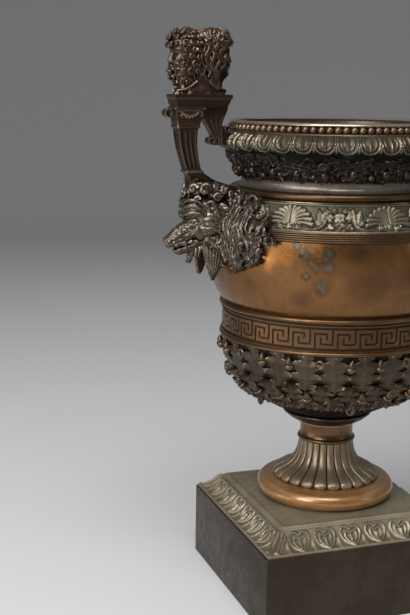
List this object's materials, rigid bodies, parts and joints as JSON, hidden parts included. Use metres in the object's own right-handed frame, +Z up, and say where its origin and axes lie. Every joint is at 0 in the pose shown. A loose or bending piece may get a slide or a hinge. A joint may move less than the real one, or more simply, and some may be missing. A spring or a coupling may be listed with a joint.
{
  "type": "bronze vase",
  "caption": "Bronze krater vase on a square plinth, with a leaf-clad bowl, a key-pattern band and two upright handles that rise from boar's heads and carry double busts.",
  "frame": {"origin": "centre of the plinth's underside, on the vase's axis", "axes": "+Z up along the vase's axis, +X through one handle, -Y towards the front"},
  "size_m": [0.3364, 0.2388, 0.5306],
  "materials": {
    "copper_bronze": "patinated bronze, warm golden brown, satin and rubbed",
    "polished_bronze": "patinated bronze, worn bright on its rounds",
    "dark_bronze": "patinated bronze, dark grey brown with worn edges",
    "verdigris_bronze": "patinated bronze, olive grey with traces of verdigris",
    "handle_bronze": "patinated bronze, dark red brown, bright on its edges",
    "plinth_bronze": "patinated bronze, brown black, satin with fine scratches",
    "steel": "plain steel"
  },
  "bodies": {
    "root": {"plinth_block": "plinth_bronze", "plinth_cap": "verdigris_bronze", "foot_ring": "polished_bronze", "fluted_stem": "verdigris_bronze", "stem_collar": "polished_bronze", "stem_dish": "dark_bronze", "leaf_calyx": "dark_bronze", "key_band": "copper_bronze", "belly": "copper_bronze", "reeded_band": "copper_bronze", "palmette_frieze": "verdigris_bronze", "shoulder_ring": "polished_bronze", "leaf_neck": "dark_bronze", "leaf_rim": "verdigris_bronze", "bead_row": "polished_bronze", "plain_lip": "polished_bronze", "tie_rod": "steel", "tie_washer_top": "steel", "tie_nut_top": "steel", "tie_washer_bottom": "steel", "tie_nut_bottom": "steel", "plinth_screw_1": "steel", "plinth_screw_2": "steel", "plinth_screw_3": "steel", "plinth_screw_4": "steel", "right_handle_shaft": "handle_bronze", "right_handle_capital": "handle_bronze", "right_handle_abacus": "handle_bronze", "right_handle_bracket": "handle_bronze", "right_double_bust": "handle_bronze", "right_boar_head": "handle_bronze", "right_leaf_spray": "handle_bronze", "right_handle_stud": "steel", "right_lower_screw": "steel", "right_upper_screw": "steel", "right_boar_screw": "steel", "left_handle_shaft": "handle_bronze", "left_handle_capital": "handle_bronze", "left_handle_abacus": "handle_bronze", "left_handle_bracket": "handle_bronze", "left_double_bust": "handle_bronze", "left_boar_head": "handle_bronze", "left_leaf_spray": "handle_bronze", "left_handle_stud": "steel", "left_lower_screw": "steel", "left_upper_screw": "steel", "left_boar_screw": "steel"}
  },
  "joints": []
}
